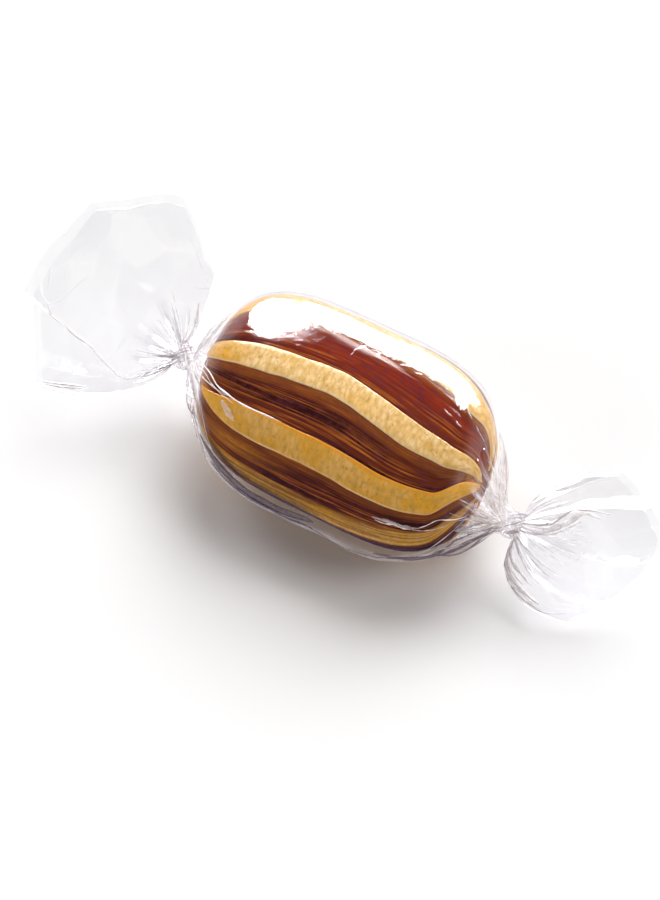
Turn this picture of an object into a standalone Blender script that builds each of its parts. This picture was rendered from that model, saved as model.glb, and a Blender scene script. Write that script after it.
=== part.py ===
# A striped mint humbug in a clear film wrapper, twisted shut at both ends.
# The sweet's long axis runs along X, up is +Z, and the wrapper rests on z = 0.
import math

import bmesh
import bpy
import numpy as np
from mathutils import Vector

MM = 0.001

# The sweet: a rounded pillow, |y/a|^m + |z/b|^m + |x/c|^p = 1 about its middle.
SWEET_LENGTH = 29.0 * MM
SWEET_WIDTH = 19.0 * MM
SWEET_HEIGHT = 15.2 * MM
SECTION_POWER = 2.25
LENGTH_POWER = 4.1
SWEET_SKEW = -1.3 * MM
SWEET_MIDDLE_Z = 8.1 * MM

# The cream strips laid into the brown sweet, angles taken from +Y towards +Z. Each has its
# middle, its width, how far it drifts at the left and at the right, and where it starts.
STRIP_REACH = 0.984
SHOWN_STRIPS = [
    (55.5, 29.0, 6.0, 2.0, -STRIP_REACH),
    (103.5, 16.0, 12.0, 9.0, -STRIP_REACH),
    (145.5, 18.5, 2.0, 4.0, -0.885),
    (190.0, 20.0, -3.0, -4.0, -STRIP_REACH),
]
STRIP_COUNT = 8
HIDDEN_STRIP_WIDTH = 19.0
END_SWIRL = 16.0
TAPER_LENGTH = 0.34
TAPER_POWER = 0.55
TAPER_LEAST = 0.22
STRIP_RELIEF = 0.14 * MM
STRIP_CROWN = 0.17 * MM
STRIP_SHOULDER = 0.22
GROOVE_REACH = 0.990
GROOVE_DEPTH = 0.9 * MM
GROOVE_TOP_INSET = 0.40 * MM
GROOVE_FLOOR_INSET = 0.12 * MM
GROOVE_SHARE = 0.38
GROOVE_LEAD = 0.055
CORE_REACH = 0.995
PIECE_GAP = 0.3 * MM

# The film: one tube of sheet round the sweet, gathered into a neck at each end.
FILM_WALL = 0.3 * MM
FILM_OFFSET = 0.6 * MM
FILM_COLUMNS = 40
FILM_SLACK = 0.75 * MM
FILM_SLACK_ANGLE = 214.0
FILM_SLACK_SPREAD = 36.0
NECK_RADIUS = 1.15 * MM
NECK_LOBES = 5
NECK_LOBE_DEPTH = 0.12
NECK_BEFORE = 0.8 * MM
NECK_AFTER = 1.2 * MM
GATHER_FOLDS = 8
GATHER_DEPTH = 0.45 * MM
FAN_OPENING = 0.75 * MM
FAN_BLEND = 3.0 * MM

# Each tail fans out in a tilted plane that faces (azimuth, elevation), from its neck, a
# place seen from the sweet's middle. Angles lie in that plane, from the sweet's axis,
# positive towards +Y. The rim has a corner for each (angle, radius in mm) pair, and each
# pleat is (waves across the fan, depth in mm, phase in waves).
LEFT_TAIL = {
    "side": -1,
    "twist": 99.0,
    "neck": (-17.5 * MM, 0.0, -2.0 * MM),
    "facing": (32.0, 62.0),
    "near_angles": (78.0, -58.0),
    "rim": [(59.0, 15.6), (39.3, 16.4), (29.0, 17.7), (-7.5, 16.8), (-24.0, 14.4), (-39.0, 14.4)],
    "pleats": [(0.5, 0.8, 0.0), (1.0, 0.5, 0.15), (2.5, 0.35, 0.6), (5.5, 0.22, 0.1)],
}
RIGHT_TAIL = {
    "side": 1,
    "twist": -144.0,
    "neck": (17.6 * MM, -1.0 * MM, -2.0 * MM),
    "facing": (32.0, 56.0),
    "near_angles": (80.0, -68.0),
    "rim": [(51.0, 11.2), (33.0, 12.5), (20.7, 13.7), (0.0, 12.4), (-15.0, 11.3), (-31.0, 10.5)],
    "pleats": [(0.5, 1.6, 0.0), (1.5, 0.6, 0.55), (3.5, 0.4, 0.2), (7.0, 0.22, 0.4)],
}
BODY_STATIONS = 19
GATHER_STATIONS = 4
NECK_STATIONS = 5
FAN_STATIONS = 9


def smooth_step(value):
    """0 up to 0, 1 from 1 on, 3v^2 - 2v^3 between."""
    clipped = np.clip(value, 0.0, 1.0)
    return clipped * clipped * (3.0 - 2.0 * clipped)


def sweet_point(along, angle, offset=0.0):
    """A point of the sweet, along from -1 to 1 and angle in degrees, moved out by offset."""
    along, angle, offset = np.broadcast_arrays(along, np.radians(angle), offset)
    half_width = SWEET_WIDTH / 2
    half_height = SWEET_HEIGHT / 2
    half_length = SWEET_LENGTH / 2
    m = SECTION_POWER
    p = LENGTH_POWER
    section = (1.0 - np.abs(along) ** p) ** (1.0 / m)
    cosine = np.cos(angle)
    sine = np.sin(angle)
    reach = (np.abs(cosine) ** m + np.abs(sine) ** m) ** (-1.0 / m)
    y_unit = section * reach * cosine
    z_unit = section * reach * sine
    x = half_length * along + SWEET_SKEW * y_unit
    slope_x = p * np.sign(along) * np.abs(along) ** (p - 1.0) / half_length
    slope_y = m * np.sign(y_unit) * np.abs(y_unit) ** (m - 1.0) / half_width - slope_x * SWEET_SKEW / half_width
    slope_z = m * np.sign(z_unit) * np.abs(z_unit) ** (m - 1.0) / half_height
    point = np.stack([x, half_width * y_unit, half_height * z_unit + SWEET_MIDDLE_Z], axis=-1)
    normal = np.stack([slope_x, slope_y, slope_z], axis=-1)
    normal /= np.linalg.norm(normal, axis=-1, keepdims=True)
    return point + normal * offset[..., None]


def on_floor_side(points, lowest):
    """The points with none lower than the given height, which leaves a flat underside."""
    held = points.copy()
    held[..., 2] = np.maximum(held[..., 2], lowest)
    return held


def strip_list():
    """Every strip round the sweet: the shown ones, and the others spaced evenly between."""
    hidden = STRIP_COUNT - len(SHOWN_STRIPS)
    first = SHOWN_STRIPS[0][0] + 360.0
    last = SHOWN_STRIPS[-1][0]
    pitch = (first - last) / (hidden + 1)
    others = []
    for index in range(hidden):
        middle = last + pitch * (index + 1)
        others.append((middle, HIDDEN_STRIP_WIDTH, 5.0 - 2.0 * index, 5.0 - 3.0 * index, -STRIP_REACH))
    return SHOWN_STRIPS + others


def strip_edges(strip, along):
    """The two edge angles of a strip, lower angle first, at each place along the sweet.

    A strip that starts short of the sweet's end grows from a narrow tip there.
    """
    middle, width, left_drift, right_drift, start = strip
    if start > -STRIP_REACH:
        grown = np.clip((along - start) / TAPER_LENGTH, 0.0, 1.0) ** TAPER_POWER
        width = width * np.maximum(grown, TAPER_LEAST)
    leftward = np.clip(-along, 0.0, 1.0)
    rightward = np.clip(along, 0.0, 1.0)
    drift = left_drift * leftward ** 1.6 + right_drift * smooth_step(rightward / 0.7)
    swirl = END_SWIRL * smooth_step((rightward - 0.83) / 0.17)
    centre = middle + drift - swirl
    return centre - width / 2, centre + width / 2


def angle_for(distance, along):
    """The angle in degrees that spans a distance round the sweet at a place along it."""
    section = (1.0 - np.abs(along) ** LENGTH_POWER) ** (1.0 / SECTION_POWER)
    radius = section * (SWEET_WIDTH + SWEET_HEIGHT) / 4
    return np.degrees(distance / radius)


def stations(count, reach):
    """Places along the sweet from -reach to reach, closer together towards the ends."""
    even = np.linspace(-1.0, 1.0, count)
    return reach * np.sign(even) * (1.0 - (1.0 - np.abs(even)) ** 1.9)


def lofted_mesh(name, rings, caps, material):
    """A tube through rings of points, every quad split along its shorter diagonal.

    caps is "poles" for a vertex beyond each end, "flat" for a fan over the end ring,
    and "open" for a sheet that stays open.
    """
    shape = bmesh.new()
    rows = [[shape.verts.new(Vector(point)) for point in ring] for ring in rings]
    count = len(rows[0])
    for first, second in zip(rows, rows[1:]):
        for index in range(count):
            follow = (index + 1) % count
            forward = (first[index].co - second[follow].co).length
            backward = (first[follow].co - second[index].co).length
            if forward < backward:
                shape.faces.new((first[index], first[follow], second[follow]))
                shape.faces.new((first[index], second[follow], second[index]))
            else:
                shape.faces.new((first[index], first[follow], second[index]))
                shape.faces.new((first[follow], second[follow], second[index]))
    if caps != "open":
        for row, ring, direction in ((rows[0], rings[0], -1), (rows[-1], rings[-1], 1)):
            middle = np.mean(ring, axis=0)
            if caps == "poles":
                middle = np.array([direction * SWEET_LENGTH / 2, 0.0, SWEET_MIDDLE_Z])
            pole = shape.verts.new(Vector(middle))
            for index in range(count):
                follow = (index + 1) % count
                pair = (row[follow], row[index]) if direction < 0 else (row[index], row[follow])
                shape.faces.new((pole,) + pair)
    bmesh.ops.recalc_face_normals(shape, faces=shape.faces[:])
    mesh = bpy.data.meshes.new(name)
    shape.to_mesh(mesh)
    shape.free()
    mesh.materials.append(material)
    mesh.shade_smooth()
    mesh.set_sharp_from_angle(angle=math.radians(38.0))
    part = bpy.data.objects.new(name, mesh)
    bpy.context.collection.objects.link(part)
    return part


def material_of(name, colour, roughness, alpha=1.0):
    """A Principled material with a plain colour."""
    material = bpy.data.materials.new(name)
    material.use_nodes = True
    shader = material.node_tree.nodes["Principled BSDF"]
    shader.inputs["Base Color"].default_value = (*colour, 1.0)
    shader.inputs["Roughness"].default_value = roughness
    shader.inputs["Metallic"].default_value = 0.0
    shader.inputs["Alpha"].default_value = alpha
    return material


def core_rings(strips):
    """The brown sweet with a groove under each strip, ring by ring."""
    lowest = FILM_WALL + PIECE_GAP
    rings = []
    grooved = stations(27, GROOVE_REACH)
    for along in [-CORE_REACH, *grooved, CORE_REACH]:
        starts = np.array([strip[4] for strip in strips])
        cut = (abs(along) < CORE_REACH) & (along > starts - GROOVE_LEAD)
        depth = np.where(cut, GROOVE_DEPTH, 0.0)
        inset = angle_for(GROOVE_TOP_INSET, np.clip(along, -GROOVE_REACH, GROOVE_REACH))
        edges = np.array([strip_edges(strip, along) for strip in strips])
        low, high = edges[:, 0], edges[:, 1]
        gap_after = (np.roll(low, -1) - high) % 360.0
        after = np.minimum(inset, GROOVE_SHARE * gap_after)
        before = np.minimum(inset, GROOVE_SHARE * np.roll(gap_after, 1))
        floor_share = GROOVE_FLOOR_INSET / GROOVE_TOP_INSET
        angles = np.stack([
            low - before,
            low - before * floor_share,
            high + after * floor_share,
            high + after,
            high + gap_after / 2,
        ], axis=-1)
        level = np.zeros_like(depth)
        depths = np.stack([level, -depth, -depth, level, level], axis=-1)
        ring = sweet_point(along, angles, depths).reshape(-1, 3)
        rings.append(on_floor_side(ring, lowest))
    return rings


def strip_rings(strip):
    """One cream strip, rounded on top and sunk into its groove, ring by ring."""
    lowest = FILM_WALL + PIECE_GAP
    rings = []
    for along in np.unique(np.maximum(stations(25, STRIP_REACH), strip[4])):
        low, high = strip_edges(strip, along)
        inset = angle_for(GROOVE_FLOOR_INSET, along)
        shoulder = STRIP_SHOULDER * (high - low)
        angles = [low + inset, high - inset, high, high - shoulder, (low + high) / 2, low + shoulder, low]
        bottom = PIECE_GAP - GROOVE_DEPTH
        depths = [bottom, bottom, 0.0, STRIP_RELIEF, STRIP_CROWN, STRIP_RELIEF, 0.0]
        ring = sweet_point(along, np.array(angles), np.array(depths))
        top = on_floor_side(ring, lowest)
        top[:2] = on_floor_side(ring[:2], lowest + GROOVE_DEPTH - PIECE_GAP)
        rings.append(top)
    return rings


def film_offset(along, angle):
    """How far the film stands off the sweet, with the slack it has along its lower front."""
    across = (angle - FILM_SLACK_ANGLE) / FILM_SLACK_SPREAD
    slack = FILM_SLACK * np.exp(-across ** 2) * (1.0 - np.abs(along) ** 3)
    return FILM_OFFSET + slack


def film_point(along, angle):
    """A point of the film's middle surface where it lies round the sweet."""
    point = sweet_point(along, angle, film_offset(along, angle))
    return on_floor_side(point, FILM_WALL / 2)


def tail_frame(tail):
    """The neck's place and the tail's outward, sideways and facing directions."""
    azimuth, elevation = np.radians(tail["facing"])
    facing = np.array([
        math.sin(azimuth) * math.cos(elevation),
        -math.cos(azimuth) * math.cos(elevation),
        math.sin(elevation),
    ])
    outward = np.array([tail["side"], 0.0, 0.0])
    outward = outward - facing * outward.dot(facing)
    outward /= np.linalg.norm(outward)
    sideways = np.cross(facing, outward) * tail["side"]
    neck = np.array(tail["neck"]) + np.array([0.0, 0.0, SWEET_MIDDLE_Z])
    return neck, outward, sideways, facing


def neck_ring(tail, turns, step):
    """A ring of the twisted neck, step from 0 next to the sweet to 1 at the fan."""
    neck, outward, sideways, facing = tail_frame(tail)
    start = neck - np.array([tail["side"] * NECK_BEFORE, 0.0, 0.0])
    end = neck + outward * NECK_AFTER
    centre = start + (end - start) * step
    across = np.array([0.0, 1.0, 0.0]) * (1.0 - step) + sideways * step
    upward = np.array([0.0, 0.0, 1.0]) * (1.0 - step) + facing * step
    angle = turns + math.radians(tail["twist"]) * step
    radius = NECK_RADIUS * (1.0 + NECK_LOBE_DEPTH * np.cos(NECK_LOBES * turns))
    flat = across[None, :] * np.cos(angle)[:, None] + upward[None, :] * np.sin(angle)[:, None]
    return centre + flat * radius[:, None]


def tangent_along(tail, angles, ring):
    """For each column, the place along the sweet where the film leaves it for the neck."""
    side = tail["side"]
    tries = side * np.linspace(0.55, 1.0, 180)
    touch = film_point(tries[None, :], angles[:, None])
    spoke = np.stack([np.cos(np.radians(angles)), np.sin(np.radians(angles))], axis=-1)
    away = touch - ring[:, None, :]
    rise = away[..., 1] * spoke[:, None, 0] + away[..., 2] * spoke[:, None, 1]
    run = -side * away[..., 0]
    return tries[np.argmax(np.arctan2(rise, np.maximum(run, 1e-6)), axis=1)]


def gather_rings(tail, turns, along_start):
    """The film from the sweet's shoulder to the neck, with folds that deepen outwards."""
    angles = np.degrees(turns)
    start = film_point(along_start, angles)
    end = neck_ring(tail, turns, 0.0)
    spoke = np.stack([0.6 * tail["side"] * np.ones_like(turns), np.cos(turns), np.sin(turns)], axis=-1)
    rings = []
    for step in np.linspace(0.0, 1.0, GATHER_STATIONS + 1)[1:-1]:
        fold = GATHER_DEPTH * math.sin(math.pi * step) * (0.5 + 0.5 * np.cos(GATHER_FOLDS * turns))
        ring = start + (end - start) * step + spoke * fold[:, None]
        rings.append(on_floor_side(ring, FILM_WALL / 2))
    return rings


def fan_rings(tail, turns):
    """The flattened double sheet of a tail, out to its cornered rim."""
    neck, outward, sideways, facing = tail_frame(tail)
    turned = turns + math.radians(tail["twist"])
    half_turn = np.abs((turned + math.pi) % (2 * math.pi) - math.pi) / math.pi
    across = 0.4 * (1.0 - np.cos(half_turn * math.pi)) / 2 + 0.6 * half_turn
    swell = np.sign(np.sin(turned)) * np.abs(np.sin(turned)) ** 0.6
    corner_angles = np.array([corner[0] for corner in tail["rim"]])
    corner_radii = np.array([corner[1] for corner in tail["rim"]]) * MM
    far = corner_angles[0] + (corner_angles[-1] - corner_angles[0]) * across
    near = tail["near_angles"][0] + (tail["near_angles"][1] - tail["near_angles"][0]) * across
    rim = np.interp(-far, -corner_angles, corner_radii)
    ring_start = neck_ring(tail, turns, 1.0)
    rings = []
    for step in np.linspace(0.0, 1.0, FAN_STATIONS + 1)[1:]:
        radius = NECK_AFTER + (rim - NECK_AFTER) * step
        angle = np.radians(near + (far - near) * step)
        opening = FAN_OPENING * (0.7 + 0.5 * step) * swell
        lift = np.zeros_like(turns)
        for waves, depth, phase in tail["pleats"]:
            lift += depth * MM * np.sin(2 * math.pi * (waves * across + phase)) * step
        point = neck + radius[:, None] * (
            np.cos(angle)[:, None] * outward + np.sin(angle)[:, None] * sideways
        ) + (opening + lift)[:, None] * facing
        blend = smooth_step((radius - NECK_AFTER) / FAN_BLEND)[:, None]
        rings.append(ring_start + (point - ring_start) * blend)
    return rings


def wrapper_rings():
    """The whole wrapper's middle surface, from the left rim over the sweet to the right."""
    turns = np.arange(FILM_COLUMNS) * 2 * math.pi / FILM_COLUMNS
    angles = np.degrees(turns)
    leaves = {}
    tails = {}
    for tail in (LEFT_TAIL, RIGHT_TAIL):
        ring = neck_ring(tail, turns, 0.0)
        leaves[tail["side"]] = tangent_along(tail, angles, ring)
        rings = gather_rings(tail, turns, leaves[tail["side"]])
        rings += [neck_ring(tail, turns, step) for step in np.linspace(0.0, 1.0, NECK_STATIONS + 1)]
        rings += fan_rings(tail, turns)
        tails[tail["side"]] = rings
    body = []
    for place in stations(BODY_STATIONS, 1.0):
        along = np.where(place < 0, -place * leaves[-1], place * leaves[1])
        body.append(film_point(along, angles))
    return tails[-1][::-1] + body + tails[1]


def build():
    for old in list(bpy.data.objects):
        bpy.data.objects.remove(old, do_unlink=True)

    brown = material_of("brown_sugar", (0.13, 0.035, 0.012), 0.22)
    cream = material_of("cream_sugar", (0.74, 0.48, 0.17), 0.35)
    clear = material_of("clear_film", (0.93, 0.94, 0.97), 0.08, 0.3)

    strips = strip_list()
    parts = [lofted_mesh("humbug", core_rings(strips), "poles", brown)]
    for number, strip in enumerate(strips, start=1):
        parts.append(lofted_mesh(f"stripe_{number}", strip_rings(strip), "flat", cream))

    wrapper = lofted_mesh("wrapper", wrapper_rings(), "open", clear)
    sheet = wrapper.modifiers.new("film thickness", "SOLIDIFY")
    sheet.thickness = FILM_WALL
    sheet.offset = 0.0
    sheet.use_rim = True
    parts.append(wrapper)

    # The origin lies on the resting plane, under the middle of the whole.
    bpy.context.view_layer.update()
    corners = np.array([corner for corner in wrapper.bound_box])
    middle = (corners.min(axis=0) + corners.max(axis=0)) / 2
    for part in parts:
        part.location = (-middle[0], -middle[1], 0.0)


build()
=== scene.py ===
import math

import bpy
import numpy as np
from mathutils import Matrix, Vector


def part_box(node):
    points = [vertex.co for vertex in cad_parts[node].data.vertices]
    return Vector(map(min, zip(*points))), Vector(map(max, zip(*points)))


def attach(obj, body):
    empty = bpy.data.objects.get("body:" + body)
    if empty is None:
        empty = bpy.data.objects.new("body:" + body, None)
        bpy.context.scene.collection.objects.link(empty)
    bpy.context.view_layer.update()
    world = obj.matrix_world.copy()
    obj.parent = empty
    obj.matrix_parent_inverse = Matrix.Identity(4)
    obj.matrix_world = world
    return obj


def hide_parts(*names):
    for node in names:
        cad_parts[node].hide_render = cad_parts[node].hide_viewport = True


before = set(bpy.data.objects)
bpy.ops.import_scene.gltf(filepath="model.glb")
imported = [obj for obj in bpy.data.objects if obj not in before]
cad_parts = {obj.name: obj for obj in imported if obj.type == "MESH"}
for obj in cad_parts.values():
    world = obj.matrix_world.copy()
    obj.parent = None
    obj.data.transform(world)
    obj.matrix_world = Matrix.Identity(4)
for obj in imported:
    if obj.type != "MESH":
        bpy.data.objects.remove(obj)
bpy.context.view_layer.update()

# A wrapped mint humbug: striped boiled sugar inside clear film that is twisted at both ends.
# Lengths are in metres, angles in degrees, and angles round the sweet go from +Y towards +Z.

mm = 0.001

sweetLow, sweetHigh = (np.array(corner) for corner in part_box("humbug"))
sweetPlace = (sweetLow + sweetHigh) / 2 * np.array([1, 1, 0])


def smoothStep(value):
    # 0 up to 0, 1 from 1 on, 3v^2 - 2v^3 between
    clipped = np.clip(value, 0, 1)
    return clipped * clipped * (3 - 2 * clipped)


def bell(value, middle, spread):
    # e to the power of -((value - middle) / spread)^2
    return np.exp(-((value - middle) / spread) ** 2)


def threes(x, y, z):
    # three arrays side by side as vectors
    return np.stack(np.broadcast_arrays(x, y, z), axis=-1)


def unit(vectors):
    # vectors divided by their lengths
    return vectors / np.maximum(np.linalg.norm(vectors, axis=-1, keepdims=True), 1e-12)


def headingOf(azimuth, elevation):
    # the direction at an azimuth, from -Y towards +X, and an elevation
    level = math.cos(elevation)
    return np.array([math.sin(azimuth) * level, -math.cos(azimuth) * level, math.sin(elevation)])


def wander(value, seed, waves=5, pace=1):
    # an uneven line: sines of rising pace and falling depth with random phases, about -1 to 1
    dice = np.random.default_rng(seed)
    total = np.zeros_like(value, dtype=float)
    weight = 0
    for step in range(waves):
        speed = pace * (1 + 0.9 * step) * dice.uniform(0.8, 1.2)
        depth = 1 / (1 + step)
        total += depth * np.sin(speed * value + dice.uniform(0, 2 * math.pi))
        weight += depth
    return total / weight


def lumps(points, seed, size, waves=14):
    # an uneven field in space: sines along random directions, wavelengths round the given size
    dice = np.random.default_rng(seed)
    total = np.zeros(points.shape[:-1])
    for step in range(waves):
        direction = dice.normal(size=3)
        direction /= np.linalg.norm(direction)
        wavelength = size * dice.uniform(0.6, 1.7)
        total += np.sin(points @ direction * (2 * math.pi / wavelength) + dice.uniform(0, 6.28))
    return total / math.sqrt(waves)


def facets(u, v, seed, count, size, slope):
    # crumpled sheet: triangle waves along random headings, so it breaks into flat facets
    dice = np.random.default_rng(seed)
    total = np.zeros(np.broadcast(u, v).shape)
    for fold in range(count):
        heading = dice.uniform(0, math.pi)
        wavelength = size * dice.uniform(0.6, 1.7)
        onward = u * math.cos(heading) + v * math.sin(heading)
        sideways = v * math.cos(heading) - u * math.sin(heading)
        bend = 0.22 * size * np.sin(sideways / (size * dice.uniform(0.5, 1)) + dice.uniform(0, 6.28))
        phase = (onward + bend) / wavelength + dice.uniform(0, 1)
        total += slope * wavelength * (np.abs(phase % 1 - 0.5) - 0.25)
    return total


def newPiece(name, vertices, loops, sizes, material, masks):
    # a smooth mesh from corner numbers and face sizes, with one attribute per mask
    mesh = bpy.data.meshes.new(name)
    mesh.vertices.add(len(vertices))
    mesh.vertices.foreach_set("co", vertices.ravel())
    mesh.loops.add(len(loops))
    mesh.loops.foreach_set("vertex_index", loops.astype(np.int32))
    mesh.polygons.add(len(sizes))
    mesh.polygons.foreach_set("loop_start", (np.cumsum(sizes) - sizes).astype(np.int32))
    mesh.polygons.foreach_set("use_smooth", np.ones(len(sizes), dtype=bool))
    mesh.update(calc_edges=True)
    for label, values in masks.items():
        single = values.shape[-1] == 1
        attribute = mesh.attributes.new(label, "FLOAT" if single else "FLOAT_VECTOR", "POINT")
        attribute.data.foreach_set("value" if single else "vector", values.ravel())
    mesh.materials.append(material)
    piece = bpy.data.objects.new(name, mesh)
    bpy.context.collection.objects.link(piece)
    return piece


def sheetMesh(name, points, material, joined=True, caps=None, masks=None):
    # a grid of rows x columns x 3 as quads; joined columns make a tube, caps are its end points
    rows, columns = points.shape[:2]
    index = np.arange(rows * columns).reshape(rows, columns)
    follow = np.roll(index, -1, axis=1) if joined else index[:, 1:]
    here = index if joined else index[:, :-1]
    loops = np.stack([here[:-1], follow[:-1], follow[1:], here[1:]], axis=-1).ravel()
    sizes = np.full(len(loops) // 4, 4)
    vertices = points.reshape(-1, 3)
    masks = {label: values.reshape(rows * columns, -1) for label, values in (masks or {}).items()}
    if caps is not None:
        hub = np.full(columns, len(vertices))
        startFan = np.stack([hub, follow[0], index[0]], axis=-1)
        endFan = np.stack([hub + 1, index[-1], follow[-1]], axis=-1)
        loops = np.concatenate([loops, startFan.ravel(), endFan.ravel()])
        sizes = np.concatenate([sizes, np.full(2 * columns, 3)])
        vertices = np.vstack([vertices, caps])
        masks = {label: np.vstack([values, values[:1], values[-1:]]) for label, values in masks.items()}
    print(f"{name}: {rows} x {columns} grid")
    return newPiece(name, vertices, loops, sizes, material, masks)


class Nodes:
    # short ways to place and join shader nodes in one tree
    def __init__(self, tree):
        self.tree = tree
        tree.nodes.clear()

    def add(self, kind, inputs=None, **settings):
        node = self.tree.nodes.new(kind if kind.startswith("NodeGroup") else "ShaderNode" + kind)
        for key, value in settings.items():
            setattr(node, key, value)
        for key, value in (inputs or {}).items():
            if isinstance(value, bpy.types.NodeSocket):
                self.tree.links.new(value, node.inputs[key])
            else:
                node.inputs[key].default_value = value
        return node

    def math(self, operation, first, second=0, clamp=False):
        return self.add("Math", {0: first, 1: second}, operation=operation, use_clamp=clamp).outputs[0]

    def times(self, first, second, clamp=False):
        return self.math("MULTIPLY", first, second, clamp)

    def plus(self, first, second, clamp=False):
        return self.math("ADD", first, second, clamp)

    def minus(self, first, second, clamp=False):
        return self.math("SUBTRACT", first, second, clamp)

    def vector(self, operation, inputs):
        return self.add("VectorMath", inputs, operation=operation).outputs[0]

    def split(self, vector):
        return self.add("SeparateXYZ", {"Vector": vector}).outputs

    def attribute(self, name, kind="Vector"):
        return self.add("Attribute", attribute_name=name).outputs[kind]

    def group(self, tree, **inputs):
        return self.add("Group", inputs, node_tree=tree).outputs

    def bump(self, height, strength, distance):
        return self.add("Bump", {"Height": height, "Strength": strength, "Distance": distance}).outputs[0]

    def mix(self, factor, first, second):
        return self.add("Mix", {0: factor, 6: first, 7: second}, data_type="RGBA").outputs[2]

    def ramp(self, value, low, high, kind="SMOOTHSTEP"):
        # 0 at low, 1 at high
        inputs = {"Value": value, "From Min": low, "From Max": high}
        return self.add("MapRange", inputs, interpolation_type=kind).outputs["Result"]

    def layered(self, colour, look, layers):
        # lays colours of a look over each other, each by its own share
        for share, name in layers:
            colour = self.mix(share, colour, look[name])
        return colour

    def surface(self, **inputs):
        # the material's shader and its output; a space in an input's name is written as _
        inputs = {label.replace("_", " "): value for label, value in inputs.items()}
        shader = self.add("BsdfPrincipled", inputs)
        self.add("OutputMaterial", {"Surface": shader.outputs[0]})


def srgb(red, green, blue):
    # a colour read off as 0-255 screen values, made linear
    values = [channel / 255 for channel in (red, green, blue)]
    linear = [v / 12.92 if v <= 0.04045 else ((v + 0.055) / 1.055) ** 2.4 for v in values]
    return (*linear, 1)


sweet = {
    "length": 29 * mm,
    "width": 19 * mm,
    "height": 15.2 * mm,
    "sectionPower": 2.25,   # roundness of the section: 2 is an ellipse, more is squarer
    "lengthPower": 4.1,     # how blunt the ends are
    "skew": -1.3 * mm,      # the ends lean along X with Y
    "middleZ": 8.1 * mm,
    "lowest": 0.35 * mm,    # its belly is flattened to this height
    "relief": 0.012 * mm,   # how high its fine unevenness is
    "red": (84, 14),        # the reddest brown, a painted glow of the back light through the top: angle and spread in degrees
    # painted amber glow of light through thin sugar: place along, angle, reach along and spread in degrees
    "paintedAmberGlow": [(-0.9, 140, 0.09, 9), (-0.55, 166, 0.3, 6), (0.98, 126, 0.045, 20)],
    "rows": 300,
    "columns": 300,
}

meanRadius = (sweet["width"] + sweet["height"]) / 4

# Cream stripes: middle and width round the sweet, drift at the left and at the right, start, and
# how far the stripe turns round the right end.
stripes = [
    (55.5, 29, 6, 2, -1, 16),
    (103.5, 16, 12, 9, -1, 6),
    (145.5, 18.5, 2, 4, -0.888, 19),
    (190, 20, -3, -4, -1, 16),
    (235.1, 19, 5, 5, -1, 16),
    (280.2, 19, 3, 2, -1, 16),
    (325.3, 19, 1, -1, -1, 16),
    (370.4, 19, -1, -4, -1, 16),
]


def sectionAt(along):
    # the size of the section, from 0 at the ends to 1 in the middle
    return np.maximum(1 - np.abs(along) ** sweet["lengthPower"], 0) ** (1 / sweet["sectionPower"])


def sweetPoint(along, angle, offset=0):
    # |y/a|^m + |z/b|^m + |x/c|^p = 1, with x leaning by skew * y, moved out along its normal
    along, angle, offset = np.broadcast_arrays(along, np.radians(angle), offset)
    halfWidth, halfHeight, halfLength = sweet["width"] / 2, sweet["height"] / 2, sweet["length"] / 2
    m, p = sweet["sectionPower"], sweet["lengthPower"]
    section = sectionAt(along)
    cosine, sine = np.cos(angle), np.sin(angle)
    reach = (np.abs(cosine) ** m + np.abs(sine) ** m) ** (-1 / m)
    yUnit, zUnit = section * reach * cosine, section * reach * sine
    slopeX = p * np.sign(along) * np.abs(along) ** (p - 1) / halfLength
    slopeY = m * np.sign(yUnit) * np.abs(yUnit) ** (m - 1) / halfWidth - slopeX * sweet["skew"] / halfWidth
    slopeZ = m * np.sign(zUnit) * np.abs(zUnit) ** (m - 1) / halfHeight
    x = halfLength * along + sweet["skew"] * yUnit
    point = threes(x, halfWidth * yUnit, halfHeight * zUnit + sweet["middleZ"])
    return point + unit(threes(slopeX, slopeY, slopeZ)) * offset[..., None] + sweetPlace


def stripeDrift(stripe, along):
    # how far a stripe has turned from its middle angle at each place along the sweet
    leftDrift, rightDrift, endTurn = stripe[2], stripe[3], stripe[5]
    leftward, rightward = np.clip(-along, 0, 1), np.clip(along, 0, 1)
    swirl = endTurn * smoothStep((rightward - 0.8) / 0.2)
    return leftDrift * leftward ** 1.6 + rightDrift * smoothStep(rightward / 0.7) - swirl


def stripeEdges(number, along):
    # lower and upper edge angle of a stripe, each with its own small unevenness
    stripe = stripes[number]
    middle, width, tip = stripe[0], stripe[1], stripe[4]
    centre = middle + stripeDrift(stripe, along)
    grown = 1 if tip == -1 else np.clip((along - tip) / 0.34, 0, 1) ** 0.55
    low = centre - (width / 2 - 0.5 * wander(along, 40 + number, pace=9)) * grown
    high = centre + (width / 2 + 0.5 * wander(along, 60 + number, pace=9)) * grown
    return low, high


def endwardPlaces(count, reach=1, crowding=2.1):
    # places from -reach to reach that crowd together towards both ends
    even = np.linspace(-1, 1, count)
    return reach * np.sign(even) * (1 - (1 - np.abs(even)) ** crowding)


def aboveFloor(points, lowest):
    # lifts what lies under the lowest height up to it
    held = points.copy()
    held[..., 2] = np.maximum(held[..., 2], lowest)
    return held


def flowOf(along, angle):
    # where a grain that runs with the stripes lies: unrolled drift round the sweet, and length
    drift = np.zeros(np.broadcast(along, angle).shape)
    for stripe in stripes:
        apart = (angle - stripe[0] + 180) % 360 - 180
        drift += np.maximum(0, 1 - np.abs(apart) / 45) * stripeDrift(stripe, along)
    turn = np.radians(angle - drift)
    return threes(meanRadius * np.cos(turn), meanRadius * np.sin(turn), along * sweet["length"] / 2)


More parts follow.
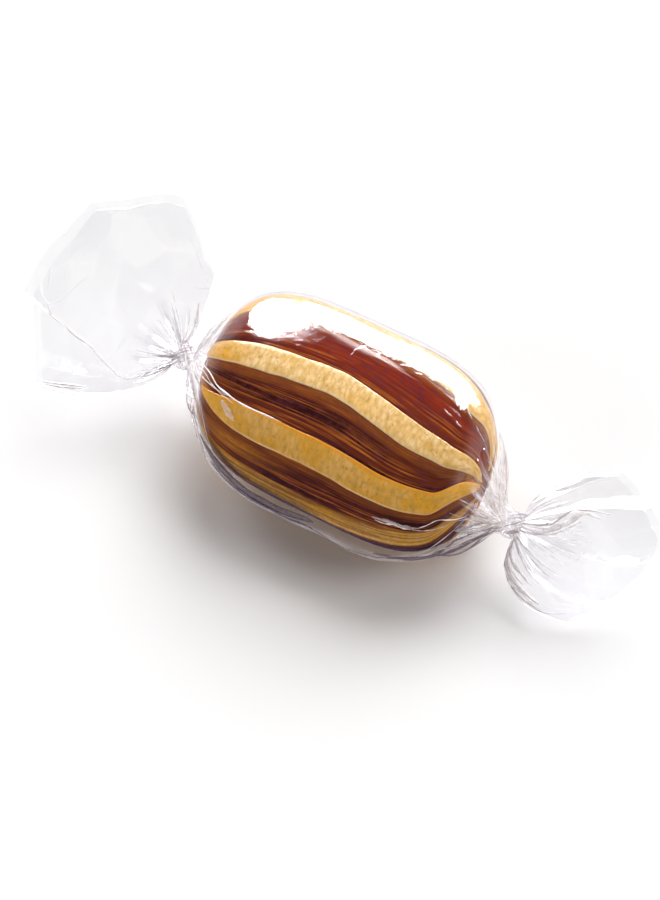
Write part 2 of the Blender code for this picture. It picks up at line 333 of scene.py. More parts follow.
def openGroup(name, **inputs):
    # a shared node group: an input with a number is a number, one with None a vector
    tree = bpy.data.node_groups.new(name, "ShaderNodeTree")
    for label, value in inputs.items():
        kind = "NodeSocketVector" if value is None else "NodeSocketFloat"
        socket = tree.interface.new_socket(label, in_out="INPUT", socket_type=kind)
        if value is not None:
            socket.default_value = value
    nodes = Nodes(tree)
    return nodes, nodes.add("NodeGroupInput").outputs


def closeGroup(nodes, **outputs):
    # gives a node group its outputs, all of them numbers
    for label in outputs:
        nodes.tree.interface.new_socket(label, in_out="OUTPUT", socket_type="NodeSocketFloat")
    nodes.add("NodeGroupOutput", outputs)
    return nodes.tree


def stretched(nodes, source):
    # the flow times one number across it and another along it
    scale = nodes.add("CombineXYZ", {0: source["Across"], 1: source["Across"], 2: source["Along"]}).outputs[0]
    return nodes.vector("MULTIPLY", {0: source["Flow"], 1: scale})


def makeGrainGroup():
    # streaks that run along the flow: noise that is fine across and drawn out along
    nodes, source = openGroup("pulledGrain", Flow=None, Across=2500, Along=120, Detail=4,
                              Low=0.45, High=0.65)
    noise = nodes.add("TexNoise", {
        "Vector": stretched(nodes, source), "Scale": 1, "Detail": source["Detail"], "Roughness": 0.6,
    }).outputs["Fac"]
    streaks = nodes.ramp(noise, source["Low"], source["High"], "LINEAR")
    return closeGroup(nodes, Streaks=streaks, Height=noise)


def makeCellGroup():
    # pulled sugar seen up close: pale cells with darker seams, drawn out across the stripe
    nodes, source = openGroup("sugarCells", Flow=None, Across=900, Along=2000, Seam=0.5)
    flow = stretched(nodes, source)
    sway = nodes.add("TexNoise", {"Vector": flow, "Scale": 0.8, "Detail": 2}).outputs["Color"]
    swayed = nodes.vector("ADD", {0: flow, 1: sway})
    cells = nodes.add("TexVoronoi", {"Vector": swayed, "Scale": 1}).outputs
    seams = nodes.ramp(cells["Distance"], source["Seam"], 1, "LINEAR")
    return closeGroup(nodes, Seams=seams, Tint=nodes.split(cells["Color"])["X"])


def makeWrinkleGroup():
    # fine wrinkles of stiff film: ridged noise, bright where the sheet folds
    nodes, source = openGroup("filmWrinkles", Vector=None, Scale=300, Sharpness=6)
    noise = nodes.add("TexNoise", {
        "Vector": source["Vector"], "Scale": source["Scale"], "Detail": 3, "Roughness": 0.55,
        "Distortion": 0.6,
    }).outputs["Fac"]
    centred = nodes.math("ABSOLUTE", nodes.minus(noise, 0.5))
    ridges = nodes.minus(1, nodes.times(centred, source["Sharpness"]), clamp=True)
    return closeGroup(nodes, Height=noise, Ridges=ridges)


def makeFacetGroup():
    # crumpled sheet seen through: straight-edged facets, each a little denser or clearer
    nodes, source = openGroup("filmFacets", Vector=None, Scale=260, Line=0.05)
    sway = nodes.add("TexNoise", {"Vector": source["Vector"], "Scale": 140, "Detail": 1}).outputs["Color"]
    nudge = nodes.vector("SCALE", {0: sway, 3: 0.004})
    swayed = nodes.vector("ADD", {0: source["Vector"], 1: nudge})
    inputs = {"Vector": swayed, "Scale": source["Scale"]}
    cells = nodes.add("TexVoronoi", inputs).outputs["Color"]
    edges = nodes.add("TexVoronoi", inputs, feature="DISTANCE_TO_EDGE").outputs["Distance"]
    lines = nodes.ramp(edges, source["Line"], 0, "LINEAR")
    return closeGroup(nodes, Lines=lines, Tone=nodes.split(cells)["X"])


grainGroup = makeGrainGroup()
cellGroup = makeCellGroup()
wrinkleGroup = makeWrinkleGroup()
facetGroup = makeFacetGroup()


def newMaterial(name):
    # an empty material and the helper for its nodes
    material = bpy.data.materials.new(name)
    material.use_nodes = True
    return material, Nodes(material.node_tree)


brownSugar = {
    "dark": srgb(54, 18, 11),
    "middle": srgb(114, 50, 24),
    "purple": srgb(88, 38, 44),
    # red and its purple mottle are a painted glow of the back light through the top of the sweet
    "red": srgb(138, 45, 21),
    "redPurple": srgb(122, 45, 43),
    "caramel": srgb(156, 88, 34),
    "streak": srgb(204, 116, 40),
    # painted amber glow of light through thin sugar
    "paintedAmberGlow": srgb(206, 132, 44),
    "roughness": 0.07,
    # grains: how fine across and along, where a streak begins and where it is full, detail
    "grains": {
        "broad": (1150, 60, 0.42, 0.6, 4),
        "fine": (4600, 130, 0.5, 0.6, 4),
        "hair": (9000, 380, 0.46, 0.62, 4),
        "patches": (420, 130, 0.42, 0.6, 2),
        "mottle": (2300, 1500, 0.46, 0.62, 5),
    },
}


def grainsOf(nodes, flow, grains):
    # the outputs of the pulled grain for each grain of a look
    labels = ("Across", "Along", "Low", "High", "Detail")
    return [nodes.group(grainGroup, Flow=flow, **dict(zip(labels, grain))) for grain in grains.values()]


def makeBrownSugar():
    # brown to purple and the painted red glow, then a caramel edge, gold streaks, the painted amber glow,
    # dark hairs and purple over it
    material, nodes = newMaterial("brownSugar")
    # band X is the distance under the stripe above, Y the distance over the stripe below
    band = nodes.split(nodes.attribute("band"))
    # tone X is how much painted red glow of the back light the band gets, Y how much painted amber glow
    tone = nodes.split(nodes.attribute("tone"))
    broad, fine, hair, patches, mottle = grainsOf(nodes, nodes.attribute("flow"), brownSugar["grains"])
    uneven = nodes.times(nodes.minus(fine["Height"], 0.5), 0.0012)
    caramel = nodes.ramp(nodes.plus(band[0], uneven), 0.001, 0.0005)
    lowerZone = nodes.ramp(band[1], 0.0026, 0.0006)
    dark = nodes.mix(nodes.times(mottle["Streaks"], 0.8), brownSugar["dark"], brownSugar["purple"])
    brown = nodes.mix(broad["Streaks"], dark, brownSugar["middle"])
    # the painted red glow, mottled with purple
    red = nodes.mix(nodes.times(mottle["Streaks"], 0.7), brownSugar["red"], brownSugar["redPurple"])
    share = nodes.plus(nodes.times(lowerZone, 0.5), nodes.times(patches["Streaks"], 0.42))
    share = nodes.times(share, nodes.minus(1, nodes.times(tone[0], 0.45)))
    glow = nodes.plus(nodes.times(broad["Streaks"], 0.5), 0.45)
    purple = nodes.times(mottle["Streaks"], nodes.minus(1, fine["Streaks"]))
    colour = nodes.layered(nodes.mix(tone[0], brown, red), brownSugar, [
        (nodes.times(caramel, 0.6), "caramel"),
        (nodes.times(fine["Streaks"], share), "streak"),
        (nodes.times(tone[1], glow), "paintedAmberGlow"),
        (nodes.times(hair["Streaks"], 0.38), "dark"),
        (nodes.times(purple, 0.3), "purple"),
    ])
    nodes.surface(Base_Color=colour, Roughness=brownSugar["roughness"], Specular_IOR_Level=0.12,
                  Normal=nodes.bump(fine["Height"], 0.12, 0.0001))
    return material


creamSugar = {
    "pale": srgb(250, 216, 156),
    "golden": srgb(244, 178, 40),
    "seam": srgb(214, 164, 72),
    "speck": srgb(176, 122, 40),
    "edge": srgb(250, 226, 188),
    "orange": srgb(238, 158, 44),
    "mud": srgb(118, 70, 36),
    "roughness": 0.2,
    "grains": {
        "fibres": (1100, 3400, 0.44, 0.64, 4),
        "patches": (300, 240, 0.38, 0.62, 3),
        "specks": (2600, 3400, 0.56, 0.66, 4),
        "lines": (2600, 110, 0.44, 0.62, 4),
    },
}


def makeCreamSugar():
    # cream to gold, then cells, seams, fibres and specks, a pale and an orange edge, and mud over it
    material, nodes = newMaterial("creamSugar")
    flow = nodes.attribute("flow")
    # strip X runs from -1 at the upper edge to 1 at the lower, Y is how golden, Z how muddy
    strip = nodes.split(nodes.attribute("strip"))
    fibres, patches, specks, lines = grainsOf(nodes, flow, creamSugar["grains"])
    cells = nodes.group(cellGroup, Flow=flow, Across=1300, Along=2300, Seam=0.3)
    side = nodes.plus(strip[0], nodes.times(nodes.minus(specks["Height"], 0.5), 0.35))
    lowerEdge, upperEdge = nodes.ramp(side, 0.74, 0.96), nodes.ramp(side, -0.62, -0.92)
    patchy = nodes.times(nodes.minus(patches["Streaks"], 0.3), 0.45)
    golden = nodes.plus(strip[1], patchy, clamp=True)
    paler = nodes.minus(0.3, nodes.times(golden, 0.22))
    paleEdge = nodes.plus(nodes.times(patches["Streaks"], 0.45), 0.18)
    orange = nodes.times(upperEdge, nodes.ramp(strip[1], 0.45, 0.85))
    # mud lies in lines, and thicker towards the upper edge
    higher = nodes.times(nodes.ramp(strip[0], 0.7, -0.7), 0.4)
    muddier = nodes.plus(nodes.times(lines["Streaks"], 0.8), higher, clamp=True)
    colour = nodes.layered(creamSugar["pale"], creamSugar, [
        (golden, "golden"),
        (nodes.times(cells["Tint"], paler), "edge"),
        (nodes.times(cells["Seams"], 0.9), "seam"),
        (nodes.times(fibres["Streaks"], 0.38), "seam"),
        (nodes.times(specks["Streaks"], 0.46), "speck"),
        (nodes.times(lowerEdge, paleEdge), "edge"),
        (nodes.times(orange, 0.85), "orange"),
        (nodes.times(strip[2], muddier), "mud"),
    ])
    nodes.surface(Base_Color=colour, Roughness=creamSugar["roughness"], Specular_IOR_Level=0.12,
                  Normal=nodes.bump(fibres["Height"], 0.25, 0.0002))
    return material


filmLook = {
    "tint": (0.9, 0.9, 0.98, 1),
    "crease": (0.84, 0.8, 0.86, 1),
    "smooth": 0.04,
    "rough": 0.5,           # where it is creased hard
    "facetScale": 230,
    "facetLine": 0.06,
    "facetTone": 0.62,      # how far facets differ in what they cover
    "facetLines": 0.26,     # and how much clearer their edges are
    "creaseCover": 0.42,
    "wrinkleScale": 420,
    "wrinkleSharpness": 14,
    "wrinkleBump": 0.22,
}


def makeClearFilm():
    # metal-bright where it covers and clear elsewhere: each face of the film mirrors a little
    material, nodes = newMaterial("clearFilm")
    # sheet X is how hard it is creased, Y what a face covers, Z how much its edges shine
    crease, veil, shine = nodes.split(nodes.attribute("sheet"))
    place = nodes.add("TexCoord").outputs["Object"]
    wrinkle = nodes.group(wrinkleGroup, Vector=place, Scale=filmLook["wrinkleScale"],
                          Sharpness=filmLook["wrinkleSharpness"])
    bump = nodes.bump(wrinkle["Height"], filmLook["wrinkleBump"], 0.0004)
    facing = nodes.add("LayerWeight", {"Blend": 0.5, "Normal": bump}).outputs["Facing"]
    edgeOn = nodes.times(nodes.math("POWER", facing, 5), shine)
    facet = nodes.group(facetGroup, Vector=place, Scale=filmLook["facetScale"], Line=filmLook["facetLine"])
    clearer = nodes.minus(1.28, nodes.times(facet["Tone"], filmLook["facetTone"]))
    clearer = nodes.minus(clearer, nodes.times(facet["Lines"], filmLook["facetLines"]))
    veiled = nodes.times(veil, nodes.math("MAXIMUM", clearer, 0.1))
    ridges = nodes.plus(nodes.times(wrinkle["Ridges"], 0.35), 0.65)
    cover = nodes.times(nodes.times(crease, ridges), filmLook["creaseCover"])
    roughness = nodes.add("MapRange", {
        "Value": crease, "To Min": filmLook["smooth"], "To Max": filmLook["rough"],
    }).outputs["Result"]
    alpha = nodes.plus(nodes.plus(edgeOn, veiled), cover, clamp=True)
    colour = nodes.mix(crease, filmLook["tint"], filmLook["crease"])
    nodes.surface(Base_Color=colour, Metallic=1, Roughness=roughness, Alpha=alpha, Normal=bump)
    return material


foldLook = {
    # dark is painted dark reflection of the room in pleats and painted shade under the sweet; white is
    # painted highlight on the creases
    "dark": srgb(140, 124, 134),
    "white": srgb(255, 248, 250),
    "roughness": 0.35,
}


def makeFoldedFilm():
    # several layers of film pressed into an edge, milky, with painted light: white for painted highlights on
    # the creases, grey-purple for painted dark reflections and, under the sweet, painted shade
    material, nodes = newMaterial("foldedFilmPaintedLight")
    place = nodes.add("TexCoord").outputs["Object"]
    wrinkle = nodes.group(wrinkleGroup, Vector=place, Scale=1500, Sharpness=4)
    cover = nodes.times(nodes.plus(wrinkle["Ridges"], 0.6), nodes.attribute("cover", "Fac"), clamp=True)
    colour = nodes.mix(nodes.attribute("pale", "Fac"), foldLook["dark"], foldLook["white"])
    nodes.surface(Base_Color=colour, Roughness=foldLook["roughness"], Alpha=cover)
    return material


brownMaterial = makeBrownSugar()
creamMaterial = makeCreamSugar()
filmMaterial = makeClearFilm()
foldMaterial = makeFoldedFilm()
print("materials ready")


def buildSweet():
    # the sweet's surface over places along it and angles round it, raised by fine lumps
    along = endwardPlaces(sweet["rows"], 0.9995)[:, None]
    angle = np.linspace(0, 360, sweet["columns"], endpoint=False)[None, :]
    flow = flowOf(along, angle)
    section = sectionAt(along)
    below = above = 1
    for number in range(len(stripes)):
        low, high = stripeEdges(number, along)
        # above +Y the angle rises towards the back, so a stripe's shown lower edge is its high one
        below = np.minimum(below, np.radians((angle - high + 5) % 360 - 5) * meanRadius * section)
        above = np.minimum(above, np.radians((low - angle + 5) % 360 - 5) * meanRadius * section)
    band = threes(np.maximum(below, 0), np.maximum(above, 0), 0)
    # painted glow of light through the sugar: redder in the band next to the highest stripe, and amber where
    # it is thin
    paintedAmberGlow = np.zeros_like(below)
    for place, middle, reach, spread in sweet["paintedAmberGlow"]:
        paintedAmberGlow += np.exp(-((along - place) / reach) ** 2 - ((angle - middle) / spread) ** 2)
    tone = threes(bell(angle, *sweet["red"]), np.minimum(paintedAmberGlow, 1), 0)
    grain = flow * np.array([1, 1, 0.08])
    rise = sweet["relief"] * lumps(grain, 7, 0.9 * mm, 18)
    points = aboveFloor(sweetPoint(along, angle, rise), sweet["lowest"])
    poles = sweetPoint(np.array([-1, 1]), 0)
    masks = {"flow": flow, "band": band, "tone": tone}
    return sheetMesh("sweetBody", points, brownMaterial, caps=poles, masks=masks)


stripeForm = {
    "crown": 0.12 * mm,     # how far the middle stands proud of the brown sugar
    "shoulder": 0.03 * mm,  # how far its edges do
    "depth": 0.35 * mm,     # how deep it is sunk
    "reach": 0.996,
    "rows": 260,
    "columns": 26,
    "sunkColumns": 6,
    "golden": [0.1, 0.06, 0.8, 0.7, 0.4, 0.4, 0.4, 0.3],    # how yellow each stripe is
    "muddy": [0, 0, 0, 0.85, 0.3, 0.2, 0.2, 0.1],           # how much brown shows through it
}


def buildStripe(number):
    # a strip between its two edge angles, crowned on top and sunk in the sweet underneath
    first, last = max(stripes[number][4], -stripeForm["reach"]), stripeForm["reach"]
    along = (first + last) / 2 + (last - first) / 2 * endwardPlaces(stripeForm["rows"])[:, None]
    across = np.linspace(-1, 1, stripeForm["columns"])[None, :]
    under = np.linspace(1, -1, stripeForm["sunkColumns"])[None, :] * 0.985
    low, high = stripeEdges(number, along)
    middle, half = (low + high) / 2, (high - low) / 2
    top = middle + half * np.sign(across) * np.abs(across) ** 0.9
    # the top swells from one edge to the other, and the return trip runs buried underneath
    fade = smoothStep((1 - np.abs(along)) / 0.03) * smoothStep((along - first) / 0.04 + 0.1)
    shoulder, crown = stripeForm["shoulder"], stripeForm["crown"]
    swell = (shoulder + (crown - shoulder) * (1 - across ** 4)) * fade
    swell = swell + sweet["relief"] * lumps(flowOf(along, top), 90 + number, 1.3 * mm)
    angle = np.concatenate([top, middle + half * under], axis=1)
    offset = np.pad(swell, ((0, 0), (0, under.size)), constant_values=-stripeForm["depth"])
    points = aboveFloor(sweetPoint(along, angle, offset), sweet["lowest"] - 0.06 * mm)
    warm = stripeForm["golden"][number] + 0.75 * smoothStep((-along - 0.45) / 0.4)
    warm = np.clip(warm + 0.5 * smoothStep((along - 0.7) / 0.3), 0, 1)
    strip = threes(np.concatenate([across, under], axis=1), warm, stripeForm["muddy"][number])
    return sheetMesh(f"creamStripe{number + 1}", points, creamMaterial, caps=points[[0, -1]].mean(axis=1),
                     masks={"flow": flowOf(along, angle), "strip": strip})


sweetPiece = buildSweet()
stripePieces = [buildStripe(number) for number in range(len(stripes))]
print("sweet and stripes built")


film = {
    "stand": 0.32 * mm,         # how far the film stands off the sweet
    "slack": 0.95 * mm,         # more along its lower front
    "slackAngle": 214,
    "slackSpread": 36,
    "neckRadius": 1.15 * mm,
    "neckBefore": 0.8 * mm,
    "neckAfter": 1.2 * mm,
    "lowest": 0.06 * mm,
    "thickness": 0.03 * mm,
    "bodyVeil": 0.012,          # what each face of the film covers where it lies on the sweet
    "slackVeil": 0.04,          # more where it hangs slack
    "tailVeil": 0.042,          # and in the tails
    "shine": 0.4,               # how much more it mirrors where a wall is seen on edge
    "frontShine": 0.16,         # and low on the front, which faces its own shadow
    "wrapRadius": 8.6,          # mm, what a turn round the sweet measures
    "calm": 0.12,               # how crumpled it is in the middle, of what it is at the ends
    "neckCrease": 0.06,
    "neckLobes": [(5, 0.16, 0), (9, 0.1, 1.3), (17, 0.07, 0.4)],    # count, depth, phase
    "gatherWave": 0.4 * mm,     # height of the broad folds of a gather
    "gatherFold": 0.34 * mm,    # and of its sharp ones
    "facets": (5, 6, 5, 0.035), # its crumples: seed, count, size in mm, slope
    "front": (215, 40),         # the part with the front's shine: angle and spread
    "firstTurn": 0.1,
    "crowding": 0.378,          # columns lie closer together round this angle
    "crowdedAt": 135,
    "columns": 230,
    "bodyRows": 116,
    "gatherRows": 44,
}

tails = {
    "opening": 0.75 * mm,       # half the gap between a tail's two layers
    "shorter": 0.035,           # how much shorter the under layer is cut
    "finePleats": 13,
    "pleatHeight": 0.5 * mm,
    "facets": (7, 5, 0.075),    # count, size in mm, slope
    "neckRings": 12,
    "rows": 140,
    "columns": 300,
}
# Each tail: nearAngles are the angles in its plane at which its edges leave the neck; the rim has angles
# and radii in mm; the pleats have waves from edge to edge, depth in mm and phase.
leftTail = {
    "side": -1, "seed": 11, "twist": 99,
    "neck": (-17.5 * mm, 0, -2 * mm), "facing": (32, 62), "nearAngles": (78, -66),
    "rim": [(78, 6.5), (77, 9), (69, 10.4), (59, 15.6), (39.3, 16.4), (29, 17.7), (17.3, 17),
            (-7.5, 16.8), (-8.2, 15.5), (-23.8, 14.4), (-39, 14.4)],
    "pleats": [(0.5, 0.8, 0), (1, 0.5, 0.15), (2.5, 0.35, 0.6), (5.5, 0.22, 0.1)],
    "hook": 0.2, "pleatReach": 0.2,
}
rightTail = {
    "side": 1, "seed": 12, "twist": -144,
    "neck": (17.6 * mm, -1 * mm, -2 * mm), "facing": (32, 56), "nearAngles": (80, -74),
    "rim": [(54.5, 5.1), (53.8, 7.9), (51, 11.2), (41.3, 12), (33, 12.5), (20.7, 13.7), (16.1, 13.6),
            (6.6, 12.8), (0, 12.3), (-15, 11.3), (-31, 10.5)],
    "pleats": [(0.5, 1.6, 0), (1.5, 0.6, 0.55), (3.5, 0.4, 0.2), (7, 0.22, 0.4)],
    "hook": 0.6, "pleatReach": 0.35,
}


def tailFrame(tail):
    # the neck's place, and the directions outward, sideways and square to the tail's plane
    facing = headingOf(*np.radians(tail["facing"]))
    outward = np.array([tail["side"], 0, 0])
    outward = outward - facing * outward.dot(facing)
    outward /= np.linalg.norm(outward)
    neck = np.array(tail["neck"]) + np.array([0, 0, sweet["middleZ"]]) + sweetPlace
    return neck, outward, np.cross(facing, outward) * tail["side"], facing


def filmPoint(along, angle):
    # the film where it lies round the sweet, with its slack along the lower front
    slack = film["slack"] * bell(angle, film["slackAngle"], film["slackSpread"]) * (1 - np.abs(along) ** 3)
    return aboveFloor(sweetPoint(along, angle, film["stand"] + slack), film["lowest"])


def neckRing(tail, turns, step):
    # a ring of the twisted neck; step runs from 0 next to the sweet to 1 at the fan
    neck, outward, sideways, facing = tailFrame(tail)
    start = neck - np.array([tail["side"] * film["neckBefore"], 0, 0])
    end = neck + outward * film["neckAfter"]
    step = np.asarray(step)[..., None, None] * np.ones((turns.size, 1))
    across = np.array([0, 1, 0]) * (1 - step) + sideways * step
    upward = np.array([0, 0, 1]) * (1 - step) + facing * step
    angle = turns[:, None] + math.radians(tail["twist"]) * step
    lobes = sum(depth * np.cos(count * turns + phase) for count, depth, phase in film["neckLobes"])
    radius = film["neckRadius"] * (1 + lobes)[:, None]
    return start + (end - start) * step + (across * np.cos(angle) + upward * np.sin(angle)) * radius


def tangentAlong(tail, angles, ring):
    # for each column, the place along the sweet where the film leaves it for the neck
    side = tail["side"]
    tries = side * np.linspace(0.55, 1, 240)
    touch = filmPoint(tries[None, :], angles[:, None])
    spoke = np.stack([np.cos(np.radians(angles)), np.sin(np.radians(angles))], axis=-1)
    away = touch - ring[:, None, :]
    rise = away[..., 1] * spoke[:, None, 0] + away[..., 2] * spoke[:, None, 1]
    run = -side * away[..., 0]
    return tries[np.argmax(np.arctan2(rise, np.maximum(run, 1e-6)), axis=1)]


def gatherRows(tail, turns, leave):
    # the film from the sweet's shoulder to the neck, folds rising and dying away between
    start, end = filmPoint(leave, np.degrees(turns)), neckRing(tail, turns, 0)
    spoke = threes(0.5 * tail["side"], np.cos(turns), np.sin(turns))
    step = np.linspace(0, 1, film["gatherRows"] + 2)[1:-1, None]
    seed = tail["seed"]
    wave = 0.5 + 0.5 * np.cos(8 * turns + 0.8 * np.sin(turns * 3 + seed))
    sharp = np.abs(np.sin(8.5 * turns + 2 * np.sin(turns + seed)))
    finer = np.abs((turns * 3.3 + 0.3 * np.sin(5 * turns + seed) + seed) % 1 - 0.5)
    fold = film["gatherWave"] * np.sin(math.pi * step) * wave
    fold = fold + film["gatherFold"] * np.sin(math.pi * step ** 0.6) * (sharp - 0.5 + finer)
    points = start + (end - start) * step[..., None] + spoke * fold[..., None]
    # creased most where the folds are sharp, and not at the shoulder
    hardness = 0.08 + 0.6 * sharp ** 8 + 0.4 * (finer > 0.42)
    deep = np.sin(math.pi * step ** 0.8) * smoothStep((step - 0.12) / 0.35) * hardness
    return aboveFloor(points, film["lowest"]), np.clip(deep, 0, 1)


def shownTurns(count):
    # turns round the sweet, closer together where the photograph's side is
    even = np.arange(count) * 2 * math.pi / count
    return even - film["crowding"] * np.sin(even - math.radians(film["crowdedAt"])) + film["firstTurn"]


def outwardAt(along, angle):
    # the direction straight out of the sweet
    return unit(sweetPoint(along, angle, 1 * mm) - sweetPoint(along, angle))


def crumpleAt(along, angle, endward):
    # how far the facets of the film lift it, more towards the ends and low on the front
    u = along * sweet["length"] / 2 / mm
    v = np.radians(angle) * film["wrapRadius"]
    slackness = film["calm"] + (1 - film["calm"]) * smoothStep((np.abs(endward) - 0.7) / 0.3)
    slackness = slackness + 0.9 * bell(angle % 360, 205, 24)
    return facets(u, v, *film["facets"]) * slackness * (1 - np.abs(endward) ** 8) * mm


def bodyRows():
    # the film's grid from the left neck to the right neck, and its masks
    turns = shownTurns(film["columns"])
    angles = np.degrees(turns)
    leaves, gathers = {}, {}
    for tail in (leftTail, rightTail):
        side = tail["side"]
        leaves[side] = tangentAlong(tail, angles, neckRing(tail, turns, 0))
        gathers[side] = gatherRows(tail, turns, leaves[side])
    place = endwardPlaces(film["bodyRows"], 1, 1.6)[:, None]
    along = np.where(place < 0, -place * leaves[-1], place * leaves[1])
    lift = crumpleAt(along, angles, place)
    middle = filmPoint(along, angles) + outwardAt(along, angles) * lift[..., None]
    rows = np.concatenate([
        neckRing(leftTail, turns, np.array([0.5, 0.25, 0])),
        gathers[-1][0][::-1], aboveFloor(middle, film["lowest"]), gathers[1][0],
        neckRing(rightTail, turns, np.array([0, 0.25, 0.5])),
    ])
    neckCrease = np.full((3, turns.size), film["neckCrease"])
    haze = 0.01 + 0.02 * smoothStep((np.abs(place) - 0.92) / 0.08) * np.ones_like(along)
    crease = np.concatenate([neckCrease, gathers[-1][1][::-1], haze, gathers[1][1], neckCrease])
    # the slack under the left half hangs in several layers, so it covers more
    slack = np.exp(-((angles - film["slackAngle"]) / 20) ** 2 - ((along + 0.3) / 0.42) ** 4)
    veil = np.full(crease.shape, film["bodyVeil"])
    first = 3 + film["gatherRows"]
    veil[first:first + film["bodyRows"]] += film["slackVeil"] * slack
    shine = film["shine"] + (film["frontShine"] - film["shine"]) * bell(angles, *film["front"])
    return rows, threes(crease, veil, shine)


def tailRows(tail):
    # the tail's grid from the neck to the rim, and its masks
    neck, outward, sideways, facing = tailFrame(tail)
    seed = tail["seed"]
    turns = np.arange(tails["columns"]) * 2 * math.pi / tails["columns"]
    turned = turns + math.radians(tail["twist"])
    half = np.abs((turned + math.pi) % (2 * math.pi) - math.pi) / math.pi
    across = 0.4 * (1 - np.cos(half * math.pi)) / 2 + 0.6 * half
    swell = np.sign(np.sin(turned)) * np.abs(np.sin(turned)) ** 0.6
    corners = np.array(tail["rim"])
    far = corners[0, 0] + (corners[-1, 0] - corners[0, 0]) * across
    near = tail["nearAngles"][0] + (tail["nearAngles"][1] - tail["nearAngles"][0]) * across
    rim = np.interp(-far, -corners[:, 0], corners[:, 1] * mm)
    # the under layer is cut a little shorter, so the rim shows as two edges
    rim = rim * (1 - tails["shorter"] * (swell < 0) * (1 + 0.6 * wander(turned, seed + 2, 4, 2)))
    step = np.linspace(0, 1, tails["rows"] + 1)[1:, None]
    radius = film["neckAfter"] + (rim - film["neckAfter"]) * step
    # the hook keeps the lower edge longer in the direction in which it leaves the neck
    angle = np.radians(near + (far - near) * step ** (1 + tail["hook"] * across))
    lift = np.zeros_like(radius)
    for waves, depth, phase in tail["pleats"]:
        lift += depth * mm * np.sin(2 * math.pi * (waves * across + phase)) * step
    # fine pleats stand out of the neck and die away towards the rim, some further than others
    pleat = tails["finePleats"] * across + 0.5 * np.sin(9 * across + seed)
    fineWave = np.abs(pleat % 1 - 0.5) * 2 - 0.5
    reach = tail["pleatReach"] * (1 + 0.85 * np.sin(np.floor(pleat) * 2.4 + seed))
    pleatDepth = smoothStep(step / 0.1) * (1 - smoothStep((step - 0.08) / reach))
    lift += tails["pleatHeight"] * fineWave * pleatDepth
    u, v = radius * np.cos(angle), radius * np.sin(angle)
    upper = (1 + swell) / 2
    crumple = facets(u / mm, v / mm, seed, *tails["facets"]) * upper
    crumple += facets(u / mm, v / mm, seed + 50, *tails["facets"]) * (1 - upper)
    lift += crumple * mm * smoothStep((step - 0.12) / 0.3)
    opening = tails["opening"] * (0.7 + 0.5 * step) * swell
    point = neck + radius[..., None] * (
        np.cos(angle)[..., None] * outward + np.sin(angle)[..., None] * sideways
    ) + (opening + lift)[..., None] * facing
    start = neckRing(tail, turns, 1)
    blend = smoothStep((radius - film["neckAfter"]) / (3 * mm))[..., None]
    rings = neckRing(tail, turns, np.linspace(0.42, 1, tails["neckRings"]))
    rows = aboveFloor(np.concatenate([rings, start + (point - start) * blend]), film["lowest"])
    fanCrease = 0.02 + 0.5 * pleatDepth * (0.25 + 0.75 * np.abs(fineWave * 2) ** 6)
    crease = np.concatenate([np.full((tails["neckRings"], turns.size), film["neckCrease"]), fanCrease])
    sheet = threes(crease, film["tailVeil"], film["shine"])
    return (rows, sheet) if tail["side"] > 0 else (rows[::-1], sheet[::-1])


def buildSheet(name, rows, sheet):
    # a sheet of film of its real thickness, half to each side, with closed rims
    piece = sheetMesh(name, rows, filmMaterial, masks={"sheet": sheet})
    solid = piece.modifiers.new("thickness", "SOLIDIFY")
    solid.thickness = film["thickness"]
    solid.offset = 0
    solid.use_rim = True
    return piece


bodySheet, leftSheet, rightSheet = bodyRows(), tailRows(leftTail), tailRows(rightTail)
filmPieces = [
    buildSheet("filmBody", *bodySheet),
    buildSheet("filmLeftTail", *leftSheet),
    buildSheet("filmRightTail", *rightSheet),
]


